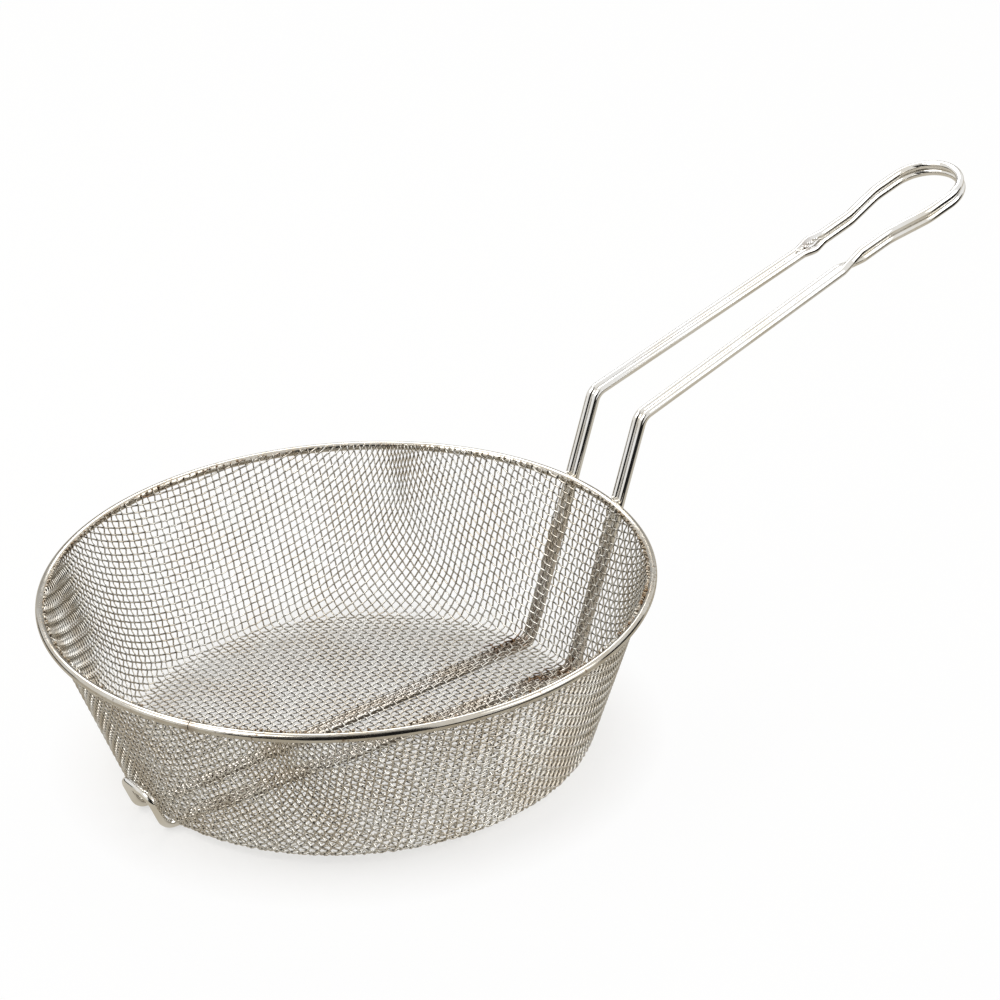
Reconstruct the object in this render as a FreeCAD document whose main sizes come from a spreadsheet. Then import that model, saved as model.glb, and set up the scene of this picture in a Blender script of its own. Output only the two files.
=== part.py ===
import FreeCAD, Part
import math
import os

# Culinary basket of woven wire cloth, 10 in across its round rim wire, carried by a handle frame
# of two bent wires that pass under the bottom. Millimetres.
# Origin: on the bowl's axis, on the surface the frame rests on. +X runs to the handle, +Z is up.

Vector = FreeCAD.Vector

doc = FreeCAD.newDocument("basket")
sheet = doc.addObject("Spreadsheet::Sheet", "sizes")

SIZES = [
    ("rim_diameter", 254.0),        # outside of the rim wire
    ("rim_wire", 3.8),
    ("seam_gap", 0.3),              # butt joint in the rim wire
    ("seam_angle", -152.4),         # where the joint lies, seen from above
    ("wire_sides", 10),             # flats round the section of the rim and of the frame wires
    ("bowl_depth", 70.5),           # rim wire's middle down to the outside of the bottom
    ("bottom_diameter", 199.0),     # outside, at the sharp corner
    ("corner_bevel", 2.2),          # stands for the round pressed corner
    ("weld_bite", 0.5),             # how far the cloth is pressed into the rim wire
    ("cloth_wire", 0.71),           # the cloth is two wires thick where wires cross
    ("cloth_web", 1.0),             # closed part of the cloth's thickness, outside the ridges
    ("hem_height", 1.3),            # cloth above the middle of the rim wire, on its inside
    ("gap_pitch", 36.0),
    ("gap_rib", 8.4),               # closed width between two gaps
    ("ridge_width", 3.2),           # raised width, on the inside of the bottom
    ("corner_border", 5.0),         # closed ring on each side of the bottom corner
    ("hem_border", 8.0),            # closed ring under the middle of the rim wire
    ("frame_wire", 3.6),
    ("wire_gap", 0.1),              # between the two frame wires
    ("seat_gap", 0.05),             # cloth and rim to the frame wires
    ("leg_half_spacing", 16.0),     # middle of each pair of wires, up the wall
    ("leg_standoff", 1.4),          # extra room round the bottom corner of the bowl
    ("leg_corner_bend", 7.0),
    ("foot_half_spacing", 10.4),
    ("foot_rise", 15.0),
    ("foot_bend", 6.0),
    ("foot_top_bend", 4.5),
    ("inner_end_setback", 11.0),    # inner wire stops this far behind the foot
    ("bend_height", 35.5),          # handle bend above the rim centre
    ("handle_bend", 6.5),
    ("handle_angle", 16.2),
    ("throat_distance", 125.0),     # bend to the middle of the crossing, along the handle
    ("throat_half_spacing", 13.2),
    ("crossing_run", 6.5),          # half the length in which the wires go from beside to above
    ("crossing_bend", 9.0),
    ("waist_run", 16.5),            # end of the crossing to where the loop starts to widen
    ("shoulder_run", 20.0),         # length in which the loop widens
    ("shoulder_bend", 26.0),
    ("loop_half_width", 17.4),
    ("loop_run", 30.0),             # from there to the end of the loop
]

for row, (name, value) in enumerate(SIZES, start=1):
    sheet.set(f"A{row}", name)
    sheet.set(f"B{row}", str(value))
    sheet.setAlias(f"B{row}", name)
doc.recompute()


def size(name):
    return float(sheet.get(name))


# Shared places, as expressions on the sheet. The same text places every piece that they touch.
BOTTOM_Z = "(sizes.frame_wire + sizes.seat_gap)"
RIM_Z = f"({BOTTOM_Z} + sizes.bowl_depth)"
RIM_RADIUS = "(sizes.rim_diameter / 2 - sizes.rim_wire / 2)"
WALL_TOP_RADIUS = "(sizes.rim_diameter / 2 - sizes.rim_wire + sizes.weld_bite)"
CLOTH_HEIGHT = "(sizes.bowl_depth + sizes.hem_height)"
WALL_LEAN = f"atan(({WALL_TOP_RADIUS} - sizes.bottom_diameter / 2) / sizes.bowl_depth)"

bottom_z = size("frame_wire") + size("seat_gap")
rim_z = bottom_z + size("bowl_depth")
rim_outside = size("rim_diameter") / 2
bottom_radius = size("bottom_diameter") / 2
wall_top_radius = rim_outside - size("rim_wire") + size("weld_bite")
wall_lean = math.atan((wall_top_radius - bottom_radius) / size("bowl_depth"))
cloth_thickness = 2 * size("cloth_wire")


# Woven cloth: one pressed bowl of closed sheet with gaps between broad ribs that run both ways
# of the weave. On the inside of the bottom the ribs carry ridges.

NET_STEPS = 4                       # knots of the draped net to each gap
LEAST_SHARE = 0.033                 # of a cell's volume, under which a trimmed cutter is left out


def bowl_form(name, inset):
    """Solid form of the bowl, its surface the inset in from the outside of the cloth."""
    body = doc.addObject("PartDesign::Body", name)
    cone = body.newObject("PartDesign::AdditiveCone", name + "_form")
    bottom = f"(sizes.bottom_diameter / 2 - {inset} * tan(45 deg - {WALL_LEAN} / 2))"
    cone.setExpression("Height", CLOTH_HEIGHT)
    cone.setExpression("Radius1", bottom)
    cone.setExpression("Radius2", f"{bottom} + {CLOTH_HEIGHT} * tan({WALL_LEAN})")
    doc.recompute()
    bevel = body.newObject("PartDesign::Chamfer", name + "_corner")
    bottom_edge = min(range(len(cone.Shape.Edges)), key=lambda k: cone.Shape.Edges[k].BoundBox.ZMax)
    bevel.Base = (cone, [f"Edge{bottom_edge + 1}"])
    bevel.setExpression("Size", f"sizes.corner_bevel - {inset} / 2")
    body.setExpression("Placement.Base.z", f"{BOTTOM_Z} + {inset}")
    doc.recompute()
    return body


corner_arc = bottom_radius - cloth_thickness / 2 * math.tan((math.pi / 2 - wall_lean) / 2)


def cloth_point(arc, turn, on_wall):
    """Point of the cloth's middle surface at a distance from the centre along its profile."""
    radius = arc
    height = bottom_z + cloth_thickness / 2
    if on_wall:
        radius = corner_arc + (arc - corner_arc) * math.sin(wall_lean)
        height += (arc - corner_arc) * math.cos(wall_lean)
    return Vector(radius * math.cos(turn), radius * math.sin(turn), height)


def next_knot(before, beside, start, step):
    """The knot one step from two neighbours, found on the cloth's middle surface."""
    arc, turn = start
    nudge = 1e-5
    for _ in range(30):
        miss = []
        for d_arc, d_turn in ((0, 0), (nudge, 0), (0, nudge)):
            spot = cloth_point(arc + d_arc, turn + d_turn, arc + d_arc > corner_arc)
            miss.append([spot.distanceToPoint(before) - step, spot.distanceToPoint(beside) - step])
        a, c = [(miss[1][k] - miss[0][k]) / nudge for k in (0, 1)]
        b, d = [(miss[2][k] - miss[0][k]) / nudge for k in (0, 1)]
        spread = a * d - b * c
        arc -= (d * miss[0][0] - b * miss[0][1]) / spread
        turn -= (a * miss[0][1] - c * miss[0][0]) / spread
        if abs(miss[0][0]) + abs(miss[0][1]) < 1e-7:
            break
    return arc, turn


def drape(pitch):
    """Square net laid over one quarter of the bowl, its knots kept a pitch apart."""
    step = pitch / NET_STEPS
    rim_arc = corner_arc + size("bowl_depth") / math.cos(wall_lean)
    count = int((rim_arc + pitch) / step) // NET_STEPS * NET_STEPS
    knots = {}
    for i in range(count + 1):
        for j in range(count + 1):
            if math.hypot(i, j) * step <= corner_arc or i * j == 0:
                knots[i, j] = (math.hypot(i, j) * step, math.atan2(j, i))
                continue
            if (i - 1, j) not in knots or (i, j - 1) not in knots:
                continue
            ends = [knots[i - 1, j], knots[i, j - 1], knots[i - 1, j - 1]]
            before, beside, behind = [cloth_point(a, t, a > corner_arc) for a, t in ends]
            ahead = before + beside - behind
            guess_arc = ends[0][0] + ends[1][0] - ends[2][0]
            knot = next_knot(before, beside, (guess_arc, math.atan2(ahead.y, ahead.x)), step)
            if knot[0] < rim_arc + pitch:
                knots[i, j] = knot
    return {
        (i // NET_STEPS, j // NET_STEPS): knot
        for (i, j), knot in knots.items() if i % NET_STEPS == 0 and j % NET_STEPS == 0
    }


def cell_prism(knots, on_wall, rib):
    """Cutter through the cloth inside one cell, half a rib in from each of its sides."""
    points = [cloth_point(arc, turn, on_wall) for arc, turn in knots]
    middle = (points[0] + points[1] + points[2] + points[3]) * 0.25
    along = (points[1] + points[2] - points[0] - points[3]) * 0.5
    across = (points[3] + points[2] - points[0] - points[1]) * 0.5
    spread = along.cross(across).Length
    keep_along = 1 - rib * across.Length / spread
    keep_across = 1 - rib * along.Length / spread
    turn = math.atan2(middle.y, middle.x)
    normal = Vector(0, 0, -1)
    if on_wall:
        normal = Vector(math.cos(turn), math.sin(turn), -math.tan(wall_lean)).normalize()
    corners = []
    for side, end in ((-1, -1), (1, -1), (1, 1), (-1, 1)):
        corner = along * (side * keep_along / 2) + across * (end * keep_across / 2)
        corners.append(middle + corner - normal * corner.dot(normal) - normal * (2 * cloth_thickness))
    face = Part.Face(Part.makePolygon(corners + corners[:1]))
    return face.extrude(normal * (4 * cloth_thickness))


def mirrored(prism):
    """The same cutter in all four quarters of the bowl."""
    origin = Vector(0, 0, 0)
    beside = prism.mirror(origin, Vector(0, 1, 0))
    return [prism, beside, prism.mirror(origin, Vector(1, 0, 0)), beside.mirror(origin, Vector(1, 0, 0))]


def cloth_cutters(name, rib, on_wall, zone):
    """Cutters of the net's cells on the bottom or on the wall, trimmed to a zone."""
    cutters = []
    for (i, j), knot in net.items():
        cell = [(i, j), (i + 1, j), (i + 1, j + 1), (i, j + 1)]
        if not all(key in net for key in cell):
            continue
        knots = [net[key] for key in cell]
        arcs = [arc for arc, turn in knots]
        corner_side = max(arcs) - corner_arc if on_wall else corner_arc - min(arcs)
        if corner_side > size("corner_border"):
            cutters += mirrored(cell_prism(knots, on_wall, rib))
    cutters = Part.makeCompound(cutters).common(zone).Solids
    least = LEAST_SHARE * size("gap_pitch") ** 2 * cloth_thickness
    feature = doc.addObject("Part::Feature", name)
    feature.Shape = Part.makeCompound([cutter for cutter in cutters if cutter.Volume > least])
    print(name, len(feature.Shape.Solids), "cutters")
    return feature


def floor_zone(rib, bottom):
    """Round zone of the bottom, kept clear of the corner."""
    ease = (size("gap_rib") - rib) / 2
    radius = corner_arc - size("corner_border") + ease
    return Part.makeCylinder(radius, rim_z, Vector(0, 0, bottom))


def cut(name, base, tool):
    feature = doc.addObject("Part::Cut", name)
    feature.Base = base
    feature.Tool = tool
    return feature


outside = bowl_form("cloth_outside", "0")
inside = bowl_form("cloth_inside", "(2 * sizes.cloth_wire)")
net = drape(size("gap_pitch"))

low = bottom_z + size("corner_border")
across = 2 * rim_outside
wall_zone = Part.makeBox(
    across, across, rim_z - size("hem_border") - low, Vector(-rim_outside, -rim_outside, low)
)
gap_rib = size("gap_rib")
ridge_width = size("ridge_width")
between_ridges = floor_zone(ridge_width, bottom_z + size("cloth_web"))
pockets = cloth_cutters("pockets", ridge_width, False, between_ridges)
floor_gaps = cloth_cutters("floor_gaps", gap_rib, False, floor_zone(gap_rib, 0))
wall_gaps = cloth_cutters("wall_gaps", gap_rib, True, wall_zone)
closed_bowl = cut("ridged_bowl", cut("closed_bowl", outside, inside), pockets)
mesh_bowl = cut("mesh_bowl", cut("bowl_with_open_floor", closed_bowl, floor_gaps), wall_gaps)


# Rim: a hoop of round wire with a butt joint, welded round the outside of the cloth's edge.

def wire_section(name, diameter):
    section = doc.addObject("Part::RegularPolygon", name)
    section.setExpression("Polygon", "sizes.wire_sides")
    section.setExpression("Circumradius", f"{diameter} / 2")
    return section


rim_section = wire_section("rim_section", "sizes.rim_wire")
rim_section.setExpression("Placement.Base.x", f"{RIM_RADIUS} * cos(sizes.seam_angle)")
rim_section.setExpression("Placement.Base.y", f"{RIM_RADIUS} * sin(sizes.seam_angle)")
rim_section.setExpression("Placement.Base.z", RIM_Z)
upright = FreeCAD.Rotation(Vector(1, 0, 0), 90)
rim_section.Placement.Rotation = FreeCAD.Rotation(Vector(0, 0, 1), size("seam_angle")) * upright
hoop = doc.addObject("Part::Revolution", "rim_hoop")
hoop.Source = rim_section
hoop.Axis = Vector(0, 0, 1)
hoop.setExpression("Angle", f"360 - sizes.seam_gap / {RIM_RADIUS} * 180 / pi")
hoop.Solid = True

seat = doc.addObject("Part::Cone", "cloth_seat")
seat_height = "(2 * sizes.rim_wire)"
seat_radius = f"({WALL_TOP_RADIUS} + sizes.seat_gap / cos({WALL_LEAN}))"
seat.setExpression("Height", seat_height)
seat.setExpression("Radius1", f"{seat_radius} - sizes.rim_wire * tan({WALL_LEAN})")
seat.setExpression("Radius2", f"{seat_radius} + sizes.rim_wire * tan({WALL_LEAN})")
seat.setExpression("Placement.Base.z", f"{RIM_Z} - sizes.rim_wire")
rim_wire = cut("rim_wire", hoop, seat)


# Handle frame: two bent wires side by side. Each is half a path, swept and mirrored.

def bent_path(name, corners):
    """Path of straight runs joined by tangent arcs; corners are (point, bend radius)."""
    edges = []
    here = corners[0][0]
    for k in range(1, len(corners) - 1):
        corner, radius = corners[k]
        back = (corners[k - 1][0] - corner).normalize()
        ahead = (corners[k + 1][0] - corner).normalize()
        half_turn = (math.pi - back.getAngle(ahead)) / 2
        middle = (back + ahead).normalize()
        start = corner + back * (radius * math.tan(half_turn))
        end = corner + ahead * (radius * math.tan(half_turn))
        if start.distanceToPoint(here) > 1e-4:
            edges.append(Part.LineSegment(here, start).toShape())
        crown = corner + middle * (radius / math.cos(half_turn) - radius)
        edges.append(Part.Arc(start, crown, end).toShape())
        here = end
    if here.distanceToPoint(corners[-1][0]) > 1e-4:
        edges.append(Part.LineSegment(here, corners[-1][0]).toShape())
    feature = doc.addObject("Part::Feature", name)
    feature.Shape = Part.Wire(edges)
    return feature


def swept_half(name, corners):
    path = bent_path(name + "_path", corners)
    section = wire_section(name + "_section", "sizes.frame_wire")
    heading = (corners[1][0] - corners[0][0]).normalize()
    section.Placement = FreeCAD.Placement(
        corners[0][0], FreeCAD.Rotation(Vector(0, 0, 1), heading)
    )
    sweep = doc.addObject("Part::Sweep", name + "_half")
    sweep.Sections = [section]
    sweep.Spine = (path, [f"Edge{k + 1}" for k in range(len(path.Shape.Edges))])
    sweep.Solid = True
    return sweep


def both_sides(name, half):
    other = doc.addObject("Part::Mirroring", name + "_other_half")
    other.Source = half
    other.Normal = Vector(0, 1, 0)
    whole = doc.addObject("Part::Fuse", name)
    whole.Base = half
    whole.Tool = other
    whole.Refine = True
    return whole


wire_radius = size("frame_wire") / 2
half_pair = (size("frame_wire") + size("wire_gap")) / 2
slope = math.radians(size("handle_angle"))

# The legs touch the outside of the rim and pass round the bottom corner of the bowl.
inner_y = size("leg_half_spacing") - half_pair
outer_y = size("leg_half_spacing") + half_pair
clear_radius = wire_radius + size("seat_gap")
corner_radius = bottom_radius + clear_radius * math.tan((math.pi / 2 - wall_lean) / 2)
corner_x = math.sqrt(corner_radius ** 2 - inner_y ** 2) + size("leg_standoff")
leg_lean = math.atan((rim_outside + clear_radius - corner_radius) / (rim_z - wire_radius))
leg_reach = (size("rim_wire") / 2 + clear_radius) / math.cos(leg_lean)
leg_rim_x = math.sqrt((rim_outside - size("rim_wire") / 2 + leg_reach) ** 2 - inner_y ** 2)
leg_rise = rim_z + size("bend_height") - wire_radius
bend_x = corner_x + (leg_rim_x - corner_x) * leg_rise / (rim_z - wire_radius)
bend_z = rim_z + size("bend_height")

# The foot leans along the wall, and its crossbar touches the cloth.
foot_x = -math.sqrt(corner_radius ** 2 - size("foot_half_spacing") ** 2)
foot_top_z = wire_radius + size("foot_rise")
crossbar_x = -(corner_radius + size("foot_rise") * math.tan(wall_lean))


def on_handle(distance, side, lift):
    return Vector(
        bend_x + distance * math.cos(slope) - lift * math.sin(slope),
        side,
        bend_z + distance * math.sin(slope) + lift * math.cos(slope),
    )


def handle_corners(shift):
    """Corners from the bend to the end of the loop; shift is to the outside in the legs."""
    throat = size("throat_distance")
    run = size("crossing_run")
    waist = throat + run + size("waist_run")
    shoulder = waist + size("shoulder_run")
    loop_end = shoulder + size("loop_run")
    throat_y = size("throat_half_spacing")
    width = size("loop_half_width")
    return [
        (on_handle(0, size("leg_half_spacing") + shift, 0), size("handle_bend")),
        (on_handle(throat - run, throat_y + shift, 0), size("crossing_bend")),
        (on_handle(throat, throat_y + shift, shift), size("crossing_bend")),
        (on_handle(throat + run, throat_y, shift), size("crossing_bend")),
        (on_handle(waist, throat_y, shift), size("shoulder_bend")),
        (on_handle(shoulder, width, shift), size("shoulder_bend")),
        (on_handle(loop_end, width, shift), width),
        (on_handle(loop_end, 0, shift), 0),
    ]


foot_y = size("foot_half_spacing")
outer_half = swept_half("handle_wire_outer", [
    (Vector(crossbar_x, 0, foot_top_z), 0),
    (Vector(crossbar_x, foot_y, foot_top_z), size("foot_top_bend")),
    (Vector(foot_x, foot_y, wire_radius), size("foot_bend")),
    (Vector(corner_x, outer_y, wire_radius), size("leg_corner_bend")),
] + handle_corners(half_pair))
handle_wire_outer = both_sides("handle_wire_outer", outer_half)

setback = size("inner_end_setback")
inner_end_y = foot_y + (outer_y - foot_y) * setback / (corner_x - foot_x) - 2 * half_pair
inner_half = swept_half("handle_wire_inner", [
    (Vector(foot_x + setback, inner_end_y, wire_radius), 0),
    (Vector(corner_x, inner_y, wire_radius), size("leg_corner_bend")),
] + handle_corners(-half_pair))
handle_wire_inner = both_sides("handle_wire_inner", inner_half)

doc.recompute()

# Every object is checked before any file is written.
for thing in doc.Objects:
    if "Invalid" in thing.State or "Error" in thing.State:
        raise RuntimeError(f"{thing.Name} failed: {thing.State}")

os.makedirs("parts", exist_ok=True)
pieces = [mesh_bowl, rim_wire, handle_wire_outer, handle_wire_inner]
for piece in pieces:
    piece.Label = piece.Name
    shape = piece.Shape
    if shape.isNull() or not shape.isValid() or len(shape.Solids) != 1:
        raise RuntimeError(f"{piece.Name} is not one valid solid")
    print(piece.Name, round(shape.Volume), "mm3", len(shape.Faces), "faces", shape.BoundBox)
for piece in pieces:
    piece.Shape.exportStep(f"parts/{piece.Label}.step")
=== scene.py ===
import math

import bmesh
import bpy
import numpy as np
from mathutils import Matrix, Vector


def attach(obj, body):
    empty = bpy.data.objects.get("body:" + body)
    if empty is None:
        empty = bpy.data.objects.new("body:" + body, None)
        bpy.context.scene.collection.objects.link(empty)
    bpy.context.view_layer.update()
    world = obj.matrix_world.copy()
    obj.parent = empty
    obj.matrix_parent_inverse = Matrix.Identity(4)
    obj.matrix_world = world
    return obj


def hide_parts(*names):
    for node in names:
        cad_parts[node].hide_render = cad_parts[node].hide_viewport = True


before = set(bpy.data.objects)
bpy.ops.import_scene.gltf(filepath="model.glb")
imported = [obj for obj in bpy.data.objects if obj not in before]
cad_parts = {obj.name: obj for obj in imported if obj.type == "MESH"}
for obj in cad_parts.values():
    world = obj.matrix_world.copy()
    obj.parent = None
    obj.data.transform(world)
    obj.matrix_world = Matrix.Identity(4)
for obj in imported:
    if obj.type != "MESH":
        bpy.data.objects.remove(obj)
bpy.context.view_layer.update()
scene = bpy.context.scene
scene.view_settings.view_transform = "Standard"


# Camera of the photograph: a long lens from the front left, 27 degrees above the rim,
# the picture turned by under three degrees. The lens is for the square picture.
CAMERA_PLACE = (-0.66186, -1.05722, 0.74179)
CAMERA_ANGLES = (62.9938, 2.4265, -36.2361)
CAMERA_LENS = 124.33
CAMERA_SENSOR = 36.0
CAMERA_RANGE = (0.05, 20.0)


def linked(name, data):
    """A new object in the scene."""
    thing = bpy.data.objects.new(name, data)
    scene.collection.objects.link(thing)
    return thing


camera = linked("camera", bpy.data.cameras.new("camera"))
camera.data.sensor_width = CAMERA_SENSOR
camera.data.lens = CAMERA_LENS
camera.data.clip_start, camera.data.clip_end = CAMERA_RANGE
camera.location = CAMERA_PLACE
camera.rotation_euler = [math.radians(angle) for angle in CAMERA_ANGLES]
scene.camera = camera


# Woven wire cloth of the bowl: plain weave of 0.71 mm nickel-plated steel wire, about eight
# wires to the inch each way, pressed into a flat-bottomed flared bowl. The cloth doesn't
# stretch, its square cells shear, so every knot keeps its distance from its neighbours.
CLOTH_WIRE = 0.00071
BOTTOM_Z = 0.00365
BOWL_DEPTH = 0.0705
RIM_Z = BOTTOM_Z + BOWL_DEPTH
RIM_OUTSIDE = 0.127
BOTTOM_RADIUS = 0.0995
CORNER_ROUND = 0.0043
WALL_INSET = 0.0033
HEM_HEIGHT = 0.0013
ALONG_AZIMUTH = math.radians(1.5)
ACROSS_AZIMUTH = math.radians(88.0)
ALONG_STEP = 0.00333
ACROSS_STEP = 0.00303
SPANS_PER_CELL = 3
WIRE_SIDES = 6

wall_lean = math.atan((RIM_OUTSIDE - WALL_INSET - BOTTOM_RADIUS) / BOWL_DEPTH)
corner_turn = math.pi / 2 - wall_lean
middle_round = CORNER_ROUND - CLOTH_WIRE
corner_start = BOTTOM_RADIUS - CORNER_ROUND * math.tan(corner_turn / 2)
corner_end = corner_start + middle_round * corner_turn
cloth_end = corner_end + (
    BOWL_DEPTH + HEM_HEIGHT - CLOTH_WIRE - middle_round * (1 - math.cos(corner_turn))
) / math.cos(wall_lean)


def cloth_profile(arc):
    """Radius, height and inward normal of the cloth's middle at a distance along its profile."""
    bend = min(max((arc - corner_start) / middle_round, 0.0), corner_turn)
    radius = min(arc, corner_start) + middle_round * math.sin(bend)
    height = middle_round * (1 - math.cos(bend))
    beyond = max(arc - corner_end, 0.0)
    radius += beyond * math.cos(bend)
    height += beyond * math.sin(bend)
    return radius, BOTTOM_Z + CLOTH_WIRE + height, -math.sin(bend), math.cos(bend)


def cloth_point(arc, azimuth, lift=0.0):
    """Place in space at a distance along the profile, lifted off the cloth's middle."""
    radius, height, inward, upward = cloth_profile(arc)
    reach = radius + inward * lift
    return np.array((reach * math.cos(azimuth), reach * math.sin(azimuth), height + upward * lift))


MOST_ROUNDS = 12
KNOT_TOLERANCE = 1e-9
NUDGE = 1e-6
TURN_REACH = 0.1


def next_knot(before, beside, start):
    """The knot a step ahead of one neighbour along the weave and of the other across it, by
    Newton's method. Azimuths count as lengths at TURN_REACH from the axis."""
    arc, azimuth = start
    for _ in range(MOST_ROUNDS):
        here = cloth_point(arc, azimuth)
        miss_a = np.linalg.norm(here - before) - ALONG_STEP
        miss_b = np.linalg.norm(here - beside) - ACROSS_STEP
        if abs(miss_a) + abs(miss_b) < KNOT_TOLERANCE:
            break
        out = cloth_point(arc + NUDGE, azimuth)
        turned = cloth_point(arc, azimuth + NUDGE / TURN_REACH)
        a = (np.linalg.norm(out - before) - ALONG_STEP - miss_a) / NUDGE
        c = (np.linalg.norm(out - beside) - ACROSS_STEP - miss_b) / NUDGE
        b = (np.linalg.norm(turned - before) - ALONG_STEP - miss_a) / NUDGE
        d = (np.linalg.norm(turned - beside) - ACROSS_STEP - miss_b) / NUDGE
        spread = a * d - b * c
        arc -= (d * miss_a - b * miss_b) / spread
        azimuth -= (a * miss_b - c * miss_a) / spread / TURN_REACH
    return arc, azimuth


# The knots, in steps along and across from the middle of the bottom. Each is kept as the
# flat polar point that unrolls the bowl, because that runs smoothly over the bottom corner.
knots = {}
along = Vector((math.cos(ALONG_AZIMUTH), math.sin(ALONG_AZIMUTH)))
across = Vector((math.cos(ACROSS_AZIMUTH), math.sin(ACROSS_AZIMUTH)))
reach_end = cloth_end + 2 * ALONG_STEP
for side_a in (1, -1):
    for side_b in (1, -1):
        for i in range(int(reach_end / ALONG_STEP) + 1):
            for j in range(int(reach_end / ACROSS_STEP) + 1):
                key = (i * side_a, j * side_b)
                if key in knots:
                    continue
                flat = along * (i * side_a * ALONG_STEP) + across * (j * side_b * ACROSS_STEP)
                if flat.length <= corner_start or i * j == 0:
                    knots[key] = (flat.length, math.atan2(flat.y, flat.x))
                    continue
                before = knots.get(((i - 1) * side_a, j * side_b))
                beside = knots.get((i * side_a, (j - 1) * side_b))
                behind = knots.get(((i - 1) * side_a, (j - 1) * side_b))
                if not before or not beside or not behind:
                    continue
                spots = [cloth_point(*k) for k in (before, beside, behind)]
                ahead = spots[0] + spots[1] - spots[2]
                guess = (before[0] + beside[0] - behind[0], math.atan2(ahead[1], ahead[0]))
                found = next_knot(spots[0], spots[1], guess)
                if found[0] < reach_end:
                    knots[key] = found


def flat_place(key):
    """A knot's place on the unrolled bowl."""
    arc, azimuth = knots[key]
    return np.array((arc * math.cos(azimuth), arc * math.sin(azimuth)))


def wire_path(keys, side):
    """Points of one woven wire through its knots, over one crossing wire and under the next."""
    places = [flat_place(k) for k in keys]
    points = []
    for n in range(len(keys) - 1):
        p0 = places[max(n - 1, 0)]
        p1, p2 = places[n], places[n + 1]
        p3 = places[min(n + 2, len(keys) - 1)]
        parity = 1 if (keys[n][0] + keys[n][1]) % 2 == 0 else -1
        for step in range(SPANS_PER_CELL):
            t = step / SPANS_PER_CELL
            flat = 0.5 * (
                2 * p1 + (p2 - p0) * t + (2 * p0 - 5 * p1 + 4 * p2 - p3) * t ** 2
                + (3 * p1 - p0 - 3 * p2 + p3) * t ** 3
            )
            lift = side * parity * math.cos(math.pi * t) * CLOTH_WIRE / 2
            arc = math.hypot(flat[0], flat[1])
            points.append((arc, math.atan2(flat[1], flat[0]), lift))
    return points


KNOT_LIFT = 0.4 * CLOTH_WIRE


def woven_point(arc, azimuth, lift):
    """Place of a wire's middle, and the way towards the wire that it crosses there, if any."""
    inward, upward = cloth_profile(arc)[2:]
    at_knot = abs(lift) > KNOT_LIFT
    toward = np.array((inward * math.cos(azimuth), inward * math.sin(azimuth), upward))
    return np.concatenate((cloth_point(arc, azimuth, lift), -math.copysign(at_knot, lift) * toward))


def edge_azimuth(inner, outer):
    """Azimuth where a wire meets the cut edge, between a point inside it and one outside."""
    part = (cloth_end - inner[0]) / (outer[0] - inner[0])
    return inner[1] + (outer[1] - inner[1]) * part


def trimmed_runs(points):
    """The stretches of a wire's path inside the cut edge of the cloth, as woven points."""
    run = []
    for n, (arc, azimuth, lift) in enumerate(points):
        if arc <= cloth_end:
            if not run and n:
                run.append(woven_point(cloth_end, edge_azimuth(points[n], points[n - 1]), lift))
            run.append(woven_point(arc, azimuth, lift))
        elif run:
            run.append(woven_point(cloth_end, edge_azimuth(points[n - 1], points[n]), lift))
            yield run
            run = []
    if run:
        yield run


def swept_wires(name, runs, radius, sides, closed=False):
    """One mesh of round wires swept along their paths."""
    curve = bpy.data.curves.new(name, "CURVE")
    curve.dimensions = "3D"
    curve.bevel_depth = radius
    curve.bevel_resolution = (sides - 4) // 2
    curve.use_fill_caps = True
    for run in runs:
        places = np.hstack((np.array(run)[:, :3], np.ones((len(run), 1))))
        spline = curve.splines.new("POLY")
        spline.points.add(len(run) - 1)
        spline.points.foreach_set("co", places.ravel())
        spline.use_smooth = True
        spline.use_cyclic_u = closed
    carrier = linked(name, curve)
    bpy.context.view_layer.update()
    depsgraph = bpy.context.evaluated_depsgraph_get()
    mesh = bpy.data.meshes.new_from_object(carrier.evaluated_get(depsgraph))
    mesh.name = name
    bpy.data.objects.remove(carrier)
    return linked(name, mesh)


def mark_crossings(piece, runs, sides):
    """Attribute that is 1 where a wire presses on the wire that it crosses, and 0 from the
    next point of its path on. The vertices of the wires' caps come first, then their rings."""
    middles = np.vstack(runs)
    corners = np.empty(3 * len(piece.data.vertices))
    piece.data.vertices.foreach_get("co", corners)
    rings = corners.reshape(-1, 3)[-sides * len(middles):].reshape(-1, sides, 3)
    outward = (rings - middles[:, None, :3]) / (CLOTH_WIRE / 2)
    pressed = np.clip((outward * middles[:, None, 3:]).sum(axis=2), 0, 1).ravel()
    values = np.zeros(len(piece.data.vertices))
    values[-len(pressed):] = pressed
    # The attribute masks painted contact shade, with some grime, beside each crossing.
    crossing = piece.data.attributes.new("crossing", "FLOAT", "POINT")
    crossing.data.foreach_set("value", values)


def mesh_of(name, bm):
    mesh = bpy.data.meshes.new(name)
    bm.to_mesh(mesh)
    bm.free()
    return mesh


chance = np.random.default_rng(11)


def nuggets(name, spots):
    """Lumps of weld metal as one mesh of small uneven balls, given as (place, radius)."""
    bm = bmesh.new()
    for place, radius in spots:
        ball = bmesh.ops.create_icosphere(bm, subdivisions=2, radius=radius)
        squash = chance.uniform(0.75, 1.15, 3)
        for vert in ball["verts"]:
            vert.co = Vector(squash * vert.co * chance.uniform(0.92, 1.08)) + Vector(place)
    for face in bm.faces:
        face.smooth = True
    return linked(name, mesh_of(name, bm))


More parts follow.
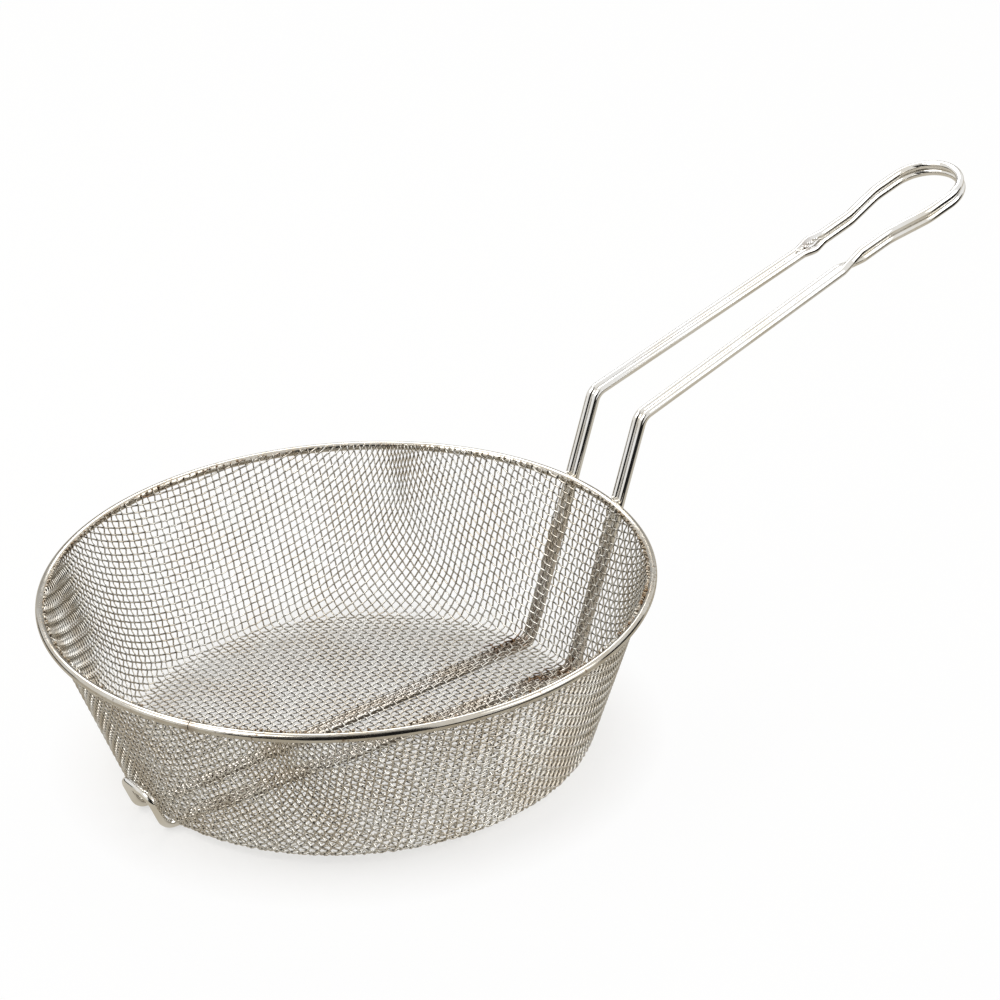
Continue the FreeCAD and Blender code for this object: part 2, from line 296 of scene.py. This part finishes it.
most_i = max(abs(key[0]) for key in knots)
most_j = max(abs(key[1]) for key in knots)
cloth_runs = {
    "cloth_along_left": [], "cloth_along_right": [],
    "cloth_across_front": [], "cloth_across_back": [],
}
for j in range(-most_j, most_j + 1):
    row = [(i, j) for i in range(-most_i, most_i + 1) if (i, j) in knots]
    for run in trimmed_runs(wire_path(row, 1)):
        cloth_runs["cloth_along_left" if j >= 0 else "cloth_along_right"].append(run)
for i in range(-most_i, most_i + 1):
    column = [(i, j) for j in range(-most_j, most_j + 1) if (i, j) in knots]
    for run in trimmed_runs(wire_path(column, -1)):
        cloth_runs["cloth_across_back" if i >= 0 else "cloth_across_front"].append(run)


# Metal effects that the materials share. Each group puts out only colours, values, masks and
# normals, all from the piece's own coordinates.
BROWN = (0.16, 0.085, 0.035)
# Colour of the painted contact shade, with some grime, where the cloth's wires cross.
CONTACT_SHADE_AND_GRIME = (0.04, 0.035, 0.028)
DRIFT_SCALE = 55.0
PIT_SCALE = 420.0
PATCH_SCALE = 130.0
CLOUD_SCALE = 240.0
GRAIN_SCALE = 900.0
PIT_DARKNESS = 0.35


def node_group(name, outputs):
    """An empty effect with its output node and the Object coordinates."""
    group = bpy.data.node_groups.new(name, "ShaderNodeTree")
    for socket, kind in outputs:
        group.interface.new_socket(name=socket, in_out="OUTPUT", socket_type=kind)
    ends = group.nodes.new("NodeGroupOutput")
    place = group.nodes.new("ShaderNodeTexCoord").outputs["Object"]
    return group, ends, place


def noise(tree, place, scale, detail=2.0):
    node = tree.nodes.new("ShaderNodeTexNoise")
    node.inputs["Scale"].default_value = scale
    node.inputs["Detail"].default_value = detail
    tree.links.new(place, node.inputs["Vector"])
    return node.outputs["Fac"]


def span(tree, value, low, high, to_low=0.0, to_high=1.0):
    """A value brought from one range to another, and kept inside it."""
    node = tree.nodes.new("ShaderNodeMapRange")
    tree.links.new(value, node.inputs["Value"])
    ends = {"From Min": low, "From Max": high, "To Min": to_low, "To Max": to_high}
    for socket, number in ends.items():
        node.inputs[socket].default_value = number
    return node.outputs["Result"]


def feed(tree, value, socket):
    """A number, a colour or the output of another node into a socket."""
    if isinstance(value, bpy.types.NodeSocket):
        tree.links.new(value, socket)
    else:
        socket.default_value = (*value, 1) if isinstance(value, tuple) else value


def math_node(tree, operation, first, second):
    node = tree.nodes.new("ShaderNodeMath")
    node.operation = operation
    feed(tree, first, node.inputs[0])
    feed(tree, second, node.inputs[1])
    return node.outputs[0]


def blend(tree, mask, first, second):
    """The first colour where the mask is 0, the second where it is 1."""
    node = tree.nodes.new("ShaderNodeMix")
    node.data_type = "RGBA"
    tree.links.new(mask, node.inputs["Factor"])
    feed(tree, first, node.inputs["A"])
    feed(tree, second, node.inputs["B"])
    return node.outputs["Result"]


def plated(name, cool, warm, rough, mottle, grain):
    """Nickel plate: drifts from cool to warm, with fine grain, small pits and cloudy polish."""
    tree, ends, place = node_group(name, (
        ("Base Color", "NodeSocketColor"),
        ("Roughness", "NodeSocketFloat"),
        ("Normal", "NodeSocketVector"),
    ))
    drift = span(tree, noise(tree, place, DRIFT_SCALE, 3.0), 0.38, 0.62)
    colour = blend(tree, drift, cool, warm)
    pits = tree.nodes.new("ShaderNodeTexVoronoi")
    pits.inputs["Scale"].default_value = PIT_SCALE
    tree.links.new(place, pits.inputs["Vector"])
    patches = span(tree, noise(tree, place, PATCH_SCALE), 0.52, 0.66)
    pit = span(tree, pits.outputs["Distance"], 0.10, 0.24, mottle, 0.0)
    pit = math_node(tree, "MULTIPLY", pit, patches)
    dark = tuple(channel * PIT_DARKNESS for channel in warm)
    tree.links.new(blend(tree, pit, colour, dark), ends.inputs["Base Color"])
    cloud = noise(tree, place, CLOUD_SCALE, 4.0)
    cloud = span(tree, cloud, 0.35, 0.70, rough * 0.75, rough * 1.45)
    rough = math_node(tree, "ADD", cloud, math_node(tree, "MULTIPLY", pit, 0.25))
    tree.links.new(rough, ends.inputs["Roughness"])
    bump = tree.nodes.new("ShaderNodeBump")
    bump.inputs["Strength"].default_value = 0.5
    bump.inputs["Distance"].default_value = grain
    tree.links.new(noise(tree, place, GRAIN_SCALE), bump.inputs["Height"])
    tree.links.new(bump.outputs["Normal"], ends.inputs["Normal"])
    return tree


def metal(name, group, stain=None, contact_shade_and_grime=None):
    """Metal from a plating group, under a brown stain where a mask group says so, and under
    painted contact shade with some grime where the piece's own attribute says so."""
    material = bpy.data.materials.new(name)
    material.use_nodes = True
    tree = material.node_tree
    shader = tree.nodes["Principled BSDF"]
    shader.inputs["Metallic"].default_value = 1.0
    plate = tree.nodes.new("ShaderNodeGroup")
    plate.node_tree = group
    tree.links.new(plate.outputs["Normal"], shader.inputs["Normal"])
    colour, rough = plate.outputs["Base Color"], plate.outputs["Roughness"]
    if stain:
        brown = tree.nodes.new("ShaderNodeGroup")
        brown.node_tree = stain
        mask = brown.outputs["Mask"]
        colour = blend(tree, mask, colour, BROWN)
        rough = math_node(tree, "ADD", rough, math_node(tree, "MULTIPLY", mask, 0.25))
    # Painted contact shade with some grime: darker where the wires cross.
    if contact_shade_and_grime:
        crossing = tree.nodes.new("ShaderNodeAttribute")
        crossing.attribute_name = contact_shade_and_grime
        dark = span(tree, crossing.outputs["Fac"], 0.05, 0.6, 0.0, 0.96)
        colour = blend(tree, dark, colour, CONTACT_SHADE_AND_GRIME)
        rough = math_node(tree, "ADD", rough, math_node(tree, "MULTIPLY", dark, 0.3))
    tree.links.new(colour, shader.inputs["Base Color"])
    tree.links.new(rough, shader.inputs["Roughness"])
    return material


def part_of(tree, place, axis):
    """One coordinate of a place."""
    node = tree.nodes.new("ShaderNodeSeparateXYZ")
    tree.links.new(place, node.inputs["Vector"])
    return node.outputs[axis]


def narrowed(tree, place):
    """The place with its sideways part made three times as big, for spots longer than wide."""
    node = tree.nodes.new("ShaderNodeVectorMath")
    node.operation = "MULTIPLY"
    tree.links.new(place, node.inputs[0])
    node.inputs[1].default_value = (1.0, 3.0, 1.0)
    return node.outputs["Vector"]


def near(tree, place, spot, reach):
    """1 at a spot, 0 from a reach away."""
    node = tree.nodes.new("ShaderNodeVectorMath")
    node.operation = "DISTANCE"
    tree.links.new(place, node.inputs[0])
    node.inputs[1].default_value = spot
    return span(tree, node.outputs["Value"], 0.0, reach, 1.0, 0.0)


# Brown stains of the cloth: along the weld at the rim, and where the legs pass the corner.
SCORCH_SPOTS = ((0.087, 0.050, 0.005), (0.087, -0.048, 0.005))
SCORCH_REACH = 0.017
WELD_BAND = (RIM_Z - 0.0022, RIM_Z + 0.0002)

edge_stain, ends, place = node_group("edge_stain", (("Mask", "NodeSocketFloat"),))
band = span(edge_stain, part_of(edge_stain, place, "Z"), *WELD_BAND)
flecks = span(edge_stain, noise(edge_stain, place, 480.0, 3.0), 0.50, 0.62)
stretches = span(edge_stain, noise(edge_stain, place, 22.0, 2.0), 0.40, 0.58, 0.25, 1.0)
weld_line = math_node(edge_stain, "MULTIPLY", band, flecks)
weld_line = math_node(edge_stain, "MULTIPLY", weld_line, stretches)
long_place = narrowed(edge_stain, place)
scorches = [near(edge_stain, long_place, spot, SCORCH_REACH) for spot in SCORCH_SPOTS]
scorch = math_node(edge_stain, "MAXIMUM", *scorches)
cloudy = span(edge_stain, noise(edge_stain, place, 210.0, 3.0), 0.40, 0.56)
scorch = math_node(edge_stain, "MULTIPLY", span(edge_stain, scorch, 0.05, 0.45, 0.0, 0.95), cloudy)
edge_stain.links.new(math_node(edge_stain, "MAXIMUM", weld_line, scorch), ends.inputs["Mask"])

cloth_plate = plated("cloth_plate", (0.62, 0.605, 0.565), (0.51, 0.465, 0.395), 0.10, 0.35, 0.00001)
cloth_metal = metal("woven_nickel_wire", cloth_plate, edge_stain, "crossing")

# The cut ends of the wires are fused to the rim in small blobs.
BEAD_SHIFT = 0.0003
BEAD_RADII = (0.00032, 0.00072)

wire_ends = [end for runs in cloth_runs.values() for run in runs for end in (run[0], run[-1])]
bead_spots = []
for end in wire_ends:
    inward = Vector((-end[0], -end[1], 0)).normalized()
    spot = Vector(end[:3]) + inward * chance.uniform(0.0, BEAD_SHIFT)
    spot += Vector((0, 0, chance.uniform(-BEAD_SHIFT, BEAD_SHIFT)))
    bead_spots.append((spot, chance.uniform(*BEAD_RADII)))
beads = nuggets("rim_weld_beads", bead_spots)
bead_plate = plated("bead_plate", (0.52, 0.48, 0.41), (0.31, 0.25, 0.175), 0.24, 0.5, 0.00001)
beads.data.materials.append(metal("weld_beads", bead_plate, edge_stain))
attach(beads, "root")

for name, runs in cloth_runs.items():
    piece = swept_wires(name, runs, CLOTH_WIRE / 2, WIRE_SIDES)
    mark_crossings(piece, runs, WIRE_SIDES)
    piece.data.materials.append(cloth_metal)
    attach(piece, "root")
    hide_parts("mesh_bowl")


# Rim: a hoop of 3.8 mm round wire outside the cloth's edge, with an open butt joint at the
# front left. The cloth is welded to its inside nearly up to the top.
RIM_WIRE = 0.0038
SEAM_AZIMUTH = math.radians(-152.4)
SEAM_GAP = 0.0003
RIM_STEPS = 300
RIM_SIDES = 20
SEAM_STAIN_REACH = 0.006

hoop_radius = RIM_OUTSIDE - RIM_WIRE / 2
opening = SEAM_GAP / hoop_radius
hoop = []
for n in range(RIM_STEPS + 1):
    turn = SEAM_AZIMUTH + opening / 2 + (2 * math.pi - opening) * n / RIM_STEPS
    hoop.append((hoop_radius * math.cos(turn), hoop_radius * math.sin(turn), RIM_Z))
rim = swept_wires("rim", [hoop], RIM_WIRE / 2, RIM_SIDES)
rim_plate = plated("rim_plate", (0.60, 0.575, 0.52), (0.52, 0.475, 0.40), 0.13, 0.6, 0.00001)
rim_stain, ends, place = node_group("rim_stain", (("Mask", "NodeSocketFloat"),))
seam_spot = (hoop_radius * math.cos(SEAM_AZIMUTH), hoop_radius * math.sin(SEAM_AZIMUTH), RIM_Z)
at_seam = span(rim_stain, near(rim_stain, place, seam_spot, SEAM_STAIN_REACH), 0.1, 0.9)
specks = span(rim_stain, noise(rim_stain, place, 700.0, 2.0), 0.60, 0.68, 0.0, 0.7)
long_patches = span(rim_stain, noise(rim_stain, place, 18.0, 2.0), 0.45, 0.60)
specks = math_node(rim_stain, "MULTIPLY", specks, long_patches)
at_seam = math_node(rim_stain, "MULTIPLY", at_seam, 0.6)
rim_stain.links.new(math_node(rim_stain, "MAXIMUM", specks, at_seam), ends.inputs["Mask"])
rim.data.materials.append(metal("rim_nickel", rim_plate, rim_stain))
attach(rim, "root")
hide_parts("rim_wire")


# Frame: two 3.6 mm wires side by side. They run under the bottom and up the back, and near the
# loop the outer one crosses to lie on top. The outer makes the foot, the inner is cut off there.
FRAME_WIRE = 0.0036
WIRE_GAP = 0.0001
SEAT_GAP = 0.00005
LEG_HALF_SPACING = 0.016
LEG_STANDOFF = 0.0014
LEG_CORNER_BEND = 0.007
FOOT_HALF_SPACING = 0.0104
FOOT_RISE = 0.015
INNER_END_SETBACK = 0.011
BEND_HEIGHT = 0.0355
HANDLE_ANGLE = math.radians(16.2)
THROAT_DISTANCE = 0.125
THROAT_HALF_SPACING = 0.0132
CROSSING_RUN = 0.0065
WAIST_DISTANCE = 0.148
SHOULDER_DISTANCE = 0.168
LOOP_HALF_WIDTH = 0.0174
LOOP_DISTANCE = 0.198
BEND_STEP = math.radians(6)
FRAME_SIDES = 16
FOOT_TOP_BEND = 0.0045
FOOT_CORNER_BEND = 0.006
HANDLE_BEND = 0.0065
CROSSING_BEND = 0.009
WAIST_BEND = 0.026

wire_radius = FRAME_WIRE / 2
half_pair = (FRAME_WIRE + WIRE_GAP) / 2
clear_radius = wire_radius + SEAT_GAP
inner_y = LEG_HALF_SPACING - half_pair
outer_y = LEG_HALF_SPACING + half_pair
corner_radius = BOTTOM_RADIUS + clear_radius * math.tan((math.pi / 2 - wall_lean) / 2)
corner_x = math.sqrt(corner_radius ** 2 - inner_y ** 2) + LEG_STANDOFF
leg_lean = math.atan((RIM_OUTSIDE + clear_radius - corner_radius) / (RIM_Z - wire_radius))
leg_reach = (RIM_WIRE / 2 + clear_radius) / math.cos(leg_lean)
leg_rim_x = math.sqrt((hoop_radius + leg_reach) ** 2 - inner_y ** 2)
bend_z = RIM_Z + BEND_HEIGHT
bend_x = corner_x + (leg_rim_x - corner_x) * (bend_z - wire_radius) / (RIM_Z - wire_radius)
foot_x = -math.sqrt(corner_radius ** 2 - FOOT_HALF_SPACING ** 2)
foot_top_z = wire_radius + FOOT_RISE
crossbar_x = -(corner_radius + FOOT_RISE * math.tan(wall_lean))


def on_handle(distance, side, lift):
    """Place at a distance from the bend up the handle, off to a side and above its plane."""
    return Vector((
        bend_x + distance * math.cos(HANDLE_ANGLE) - lift * math.sin(HANDLE_ANGLE),
        side,
        bend_z + distance * math.sin(HANDLE_ANGLE) + lift * math.cos(HANDLE_ANGLE),
    ))


def handle_corners(shift):
    """Corners and bend radii from the bend to the end of the loop."""
    throat_y = THROAT_HALF_SPACING
    return [
        (on_handle(0, LEG_HALF_SPACING + shift, 0), HANDLE_BEND),
        (on_handle(THROAT_DISTANCE - CROSSING_RUN, throat_y + shift, 0), CROSSING_BEND),
        (on_handle(THROAT_DISTANCE, throat_y + shift, shift), CROSSING_BEND),
        (on_handle(THROAT_DISTANCE + CROSSING_RUN, throat_y, shift), CROSSING_BEND),
        (on_handle(WAIST_DISTANCE, throat_y, shift), WAIST_BEND),
        (on_handle(SHOULDER_DISTANCE, LOOP_HALF_WIDTH, shift), WAIST_BEND),
        (on_handle(LOOP_DISTANCE, LOOP_HALF_WIDTH, shift), LOOP_HALF_WIDTH),
        (on_handle(LOOP_DISTANCE, 0, shift), 0),
    ]


def bent_path(corners):
    """Straight runs joined by tangent arcs, through corners given with their bend radius."""
    points = [corners[0][0]]
    for k in range(1, len(corners) - 1):
        corner, radius = corners[k]
        back = (corners[k - 1][0] - corner).normalized()
        ahead = (corners[k + 1][0] - corner).normalized()
        turn = math.pi - back.angle(ahead)
        start = corner + back * (radius * math.tan(turn / 2))
        middle = corner + (back + ahead).normalized() * (radius / math.cos(turn / 2))
        steps = max(3, math.ceil(turn / BEND_STEP))
        for n in range(steps + 1):
            part = turn * n / steps
            spot = middle + (start - middle) * math.cos(part)
            points.append(spot - back * (radius * math.sin(part)))
    points.append(corners[-1][0])
    return points


def both_sides(half):
    """The half path of the left side, joined to its mirror image on the right."""
    return [(p.x, -p.y, p.z) for p in half[:-1]] + [tuple(p) for p in reversed(half)]


inner_end_y = FOOT_HALF_SPACING - 2 * half_pair
inner_end_y += (outer_y - FOOT_HALF_SPACING) * INNER_END_SETBACK / (corner_x - foot_x)
outer_half = bent_path([
    (Vector((crossbar_x, 0, foot_top_z)), 0),
    (Vector((crossbar_x, FOOT_HALF_SPACING, foot_top_z)), FOOT_TOP_BEND),
    (Vector((foot_x, FOOT_HALF_SPACING, wire_radius)), FOOT_CORNER_BEND),
    (Vector((corner_x, outer_y, wire_radius)), LEG_CORNER_BEND),
] + handle_corners(half_pair))
inner_half = bent_path([
    (Vector((foot_x + INNER_END_SETBACK, inner_end_y, wire_radius)), 0),
    (Vector((corner_x, inner_y, wire_radius)), LEG_CORNER_BEND),
] + handle_corners(-half_pair))

THROAT_STAIN_REACH = 0.009
BURNT_SPOT = (0.095, 0.0, 0.004)
BURNT_REACH = 0.034

frame_plate = plated("frame_plate", (0.80, 0.79, 0.77), (0.72, 0.69, 0.63), 0.045, 0.25, 0.000004)
frame_stain, ends, place = node_group("frame_stain", (("Mask", "NodeSocketFloat"),))
throat_spot = on_handle(THROAT_DISTANCE - 0.004, THROAT_HALF_SPACING, 0.001)
at_throat = near(frame_stain, place, throat_spot, THROAT_STAIN_REACH)
tint = span(frame_stain, noise(frame_stain, place, 350.0, 3.0), 0.40, 0.62)
at_throat = span(frame_stain, at_throat, 0.1, 0.9, 0.0, 0.5)
throat_tint = math_node(frame_stain, "MULTIPLY", at_throat, tint)
# Browner on the low parts of the frame: from behind the foot, under the bowl and up the back to 5
# cm, fading out by 6.6 cm.
under = math_node(
    frame_stain, "MULTIPLY",
    span(frame_stain, part_of(frame_stain, place, "Z"), 0.050, 0.066, 0.42, 0.0),
    span(frame_stain, part_of(frame_stain, place, "X"), -0.095, -0.080),
)
burnt = near(frame_stain, place, BURNT_SPOT, BURNT_REACH)
burnt = span(frame_stain, burnt, 0.05, 0.45, 0.0, 0.9)
burnt = math_node(frame_stain, "MULTIPLY", burnt, tint)
under = math_node(frame_stain, "MAXIMUM", under, burnt)
frame_stain.links.new(math_node(frame_stain, "MAXIMUM", throat_tint, under), ends.inputs["Mask"])
frame_metal = metal("frame_nickel", frame_plate, frame_stain)
for name, path, closed in (
    ("handle_wire_outer", both_sides(outer_half)[:-1], True),
    ("handle_wire_inner", both_sides(inner_half), False),
):
    scene_name = name.replace("handle_wire", "frame_wire")
    wire = swept_wires(scene_name, [path], wire_radius, FRAME_SIDES, closed)
    wire.data.materials.append(frame_metal)
    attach(wire, "root")
    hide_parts(name)


# Welds of the frame: a lumpy seam where the wires cross on the left side of the handle, and
# spots where the legs meet the rim.
SEAM_BALLS = 12
SEAM_STEP = 0.001
SEAM_SETBACK = 0.008
SEAM_LIFT = 0.0012
SEAM_SWAY = 0.0004
SEAM_RADII = (0.0007, 0.0012)
SPOT_STEP = 0.0007
SPOT_RADII = (0.0008, 0.0011)
OUTER_SPOT_DEPTH = 0.0003

weld_spots = []
for n in range(SEAM_BALLS):
    distance = THROAT_DISTANCE - SEAM_SETBACK + SEAM_STEP * n
    side = THROAT_HALF_SPACING + SEAM_SWAY * math.sin(2.1 * n)
    lift = SEAM_LIFT + SEAM_SWAY * math.cos(1.7 * n)
    weld_spots.append((on_handle(distance, side, lift), chance.uniform(*SEAM_RADII)))
for side in (-1, 1):
    for y, depth in ((inner_y, 0.0), (outer_y, OUTER_SPOT_DEPTH)):
        azimuth = math.atan2(side * y, leg_rim_x)
        reach = RIM_OUTSIDE + depth
        for level in (-1, 0, 1):
            spot = (reach * math.cos(azimuth), reach * math.sin(azimuth), RIM_Z + SPOT_STEP * level)
            weld_spots.append((spot, chance.uniform(*SPOT_RADII)))
welds = nuggets("frame_welds", weld_spots)
welds.data.materials.append(metal("frame_weld", frame_plate, frame_stain))
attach(welds, "root")


# Floor: a wide pale sheet that the basket stands on. The camera sees it nearly white away
# from the basket and with its shadow close by. The wires reflect it beige, with a painted
# shadow that darkens it below the basket.
FLOOR_HALF_SIZE = 6.0
FLOOR_REACH = 0.5
BEIGE = (0.62, 0.58, 0.50)
PAINTED_SHADOW_BEIGE = (0.14, 0.125, 0.10)

bm = bmesh.new()
bmesh.ops.create_grid(bm, x_segments=1, y_segments=1, size=FLOOR_HALF_SIZE)
floor = linked("floor", mesh_of("floor", bm))
pale = bpy.data.materials.new("pale_floor")
pale.use_nodes = True
tree = pale.node_tree
shader = tree.nodes["Principled BSDF"]
shader.inputs["Base Color"].default_value = (0.80, 0.78, 0.74, 1)
shader.inputs["Roughness"].default_value = 0.6
rays = tree.nodes.new("ShaderNodeLightPath")
surface = shader.outputs["BSDF"]
place = tree.nodes.new("ShaderNodeTexCoord").outputs["Object"]
middle = near(tree, place, (0.0, 0.0, 0.0), FLOOR_REACH)
outside = span(tree, middle, 0.74, 0.82, 0.95, 0.50)
# Painted shadow: the floor that the wires reflect is dark within 6 cm of the middle, fading out by
# 10 cm.
beige = blend(tree, span(tree, middle, 0.80, 0.88), BEIGE, PAINTED_SHADOW_BEIGE)
for ray, share, colour in (
    ("Is Camera Ray", outside, (1.0, 1.0, 1.0)),
    ("Is Glossy Ray", 0.95, beige),
):
    glow = tree.nodes.new("ShaderNodeEmission")
    feed(tree, colour, glow.inputs["Color"])
    mix = tree.nodes.new("ShaderNodeMixShader")
    tree.links.new(math_node(tree, "MULTIPLY", rays.outputs[ray], share), mix.inputs["Fac"])
    tree.links.new(surface, mix.inputs[1])
    tree.links.new(glow.outputs["Emission"], mix.inputs[2])
    surface = mix.outputs["Shader"]
tree.links.new(surface, tree.nodes["Material Output"].inputs["Surface"])
floor.data.materials.append(pale)


# Studio light: a pale world, white to the camera and dimmer in reflections from behind the
# basket, and three soft lamps. Cards of black and grey paper round the basket are seen by
# reflections only. They draw the dark lines along the bright wires.
SKY_LIGHT = 0.45
BACK_DIRECTION = (0.53, 0.85, 0.0)
BACK_REACH = 0.70

world = bpy.data.worlds.new("studio")
scene.world = world
world.use_nodes = True
tree = world.node_tree
surface = tree.nodes["Background"]
surface.inputs["Color"].default_value = (1, 1, 1, 1)
surface.inputs["Strength"].default_value = SKY_LIGHT
surface = surface.outputs["Background"]
rays = tree.nodes.new("ShaderNodeLightPath")
direction = tree.nodes.new("ShaderNodeTexCoord").outputs["Generated"]
back_sky = near(tree, direction, BACK_DIRECTION, BACK_REACH)
back_sky = span(tree, back_sky, 0.0, 0.6, 1.0, 0.28)
for ray, strength in (("Is Camera Ray", 1.0), ("Is Glossy Ray", back_sky)):
    sky = tree.nodes.new("ShaderNodeBackground")
    sky.inputs["Color"].default_value = (1, 1, 1, 1)
    feed(tree, strength, sky.inputs["Strength"])
    mix = tree.nodes.new("ShaderNodeMixShader")
    tree.links.new(rays.outputs[ray], mix.inputs["Fac"])
    tree.links.new(surface, mix.inputs[1])
    tree.links.new(sky.outputs["Background"], mix.inputs[2])
    surface = mix.outputs["Shader"]
tree.links.new(surface, tree.nodes["World Output"].inputs["Surface"])

CARD_STEPS = 12


def card_paper(name, grey):
    """Matt paper of one grey."""
    paper = bpy.data.materials.new(name)
    paper.use_nodes = True
    shader = paper.node_tree.nodes["Principled BSDF"]
    shader.inputs["Base Color"].default_value = (grey, grey, grey, 1)
    shader.inputs["Roughness"].default_value = 1.0
    return paper


def dark_card(name, paper, azimuths, profile):
    """Card bent round the basket between two azimuths, through (reach, height) points."""
    bm = bmesh.new()
    rows = []
    for degrees in np.linspace(*azimuths, CARD_STEPS + 1):
        turn = math.radians(degrees)
        rows.append([
            bm.verts.new((reach * math.cos(turn), reach * math.sin(turn), height))
            for reach, height in profile
        ])
    for row, after in zip(rows, rows[1:]):
        for k in range(len(profile) - 1):
            bm.faces.new((row[k], after[k], after[k + 1], row[k + 1]))
    card = linked(name, mesh_of(name, bm))
    card.data.materials.append(paper)
    card.visible_camera = False
    card.visible_diffuse = False
    card.visible_transmission = False
    card.visible_shadow = False


black = card_paper("black_paper", 0.004)
dark_grey = card_paper("dark_grey_paper", 0.13)
grey = card_paper("grey_paper", 0.35)
dark_card("front_card", black, (-138, -99), ((0.30, 0.001), (0.55, 0.001), (0.55, 0.62)))
dark_card("turned_card", black, (-163, -138), ((0.40, 0.001), (0.55, 0.001), (0.55, 0.17)))
dark_card("dim_card", dark_grey, (-154, -138), ((0.55, 0.17), (0.55, 0.62)))
dark_card("low_card", black, (-99, -50), ((0.28, 0.001), (0.55, 0.001), (0.55, 0.09)))
dark_card("top_card", grey, (-152, -95), ((0.55, 0.62), (0.30, 0.95)))
dark_card("side_card", black, (-36, -8), ((0.50, 0.001), (0.62, 0.001), (0.62, 0.22)))
dark_card("left_card", black, (105, 138), ((0.62, 0.001), (0.62, 0.14)))

LAMP_AIM = (0.05, 0, 0.05)


def soft_lamp(name, place, size, power):
    """A square or oblong lamp that points at the basket."""
    light = bpy.data.lights.new(name, "AREA")
    light.shape = "RECTANGLE"
    light.size, light.size_y = size
    light.energy = power
    lamp = linked(name, light)
    lamp.location = place
    towards = Vector(LAMP_AIM) - Vector(place)
    lamp.rotation_euler = towards.to_track_quat("-Z", "Y").to_euler()


soft_lamp("key_lamp", (-0.9, 0.2, 1.3), (1.0, 0.8), 12.0)
soft_lamp("fill_lamp", (0.9, -0.9, 1.0), (0.9, 0.9), 7.0)
soft_lamp("back_lamp", (0.5, 1.0, 1.1), (1.2, 0.5), 8.0)
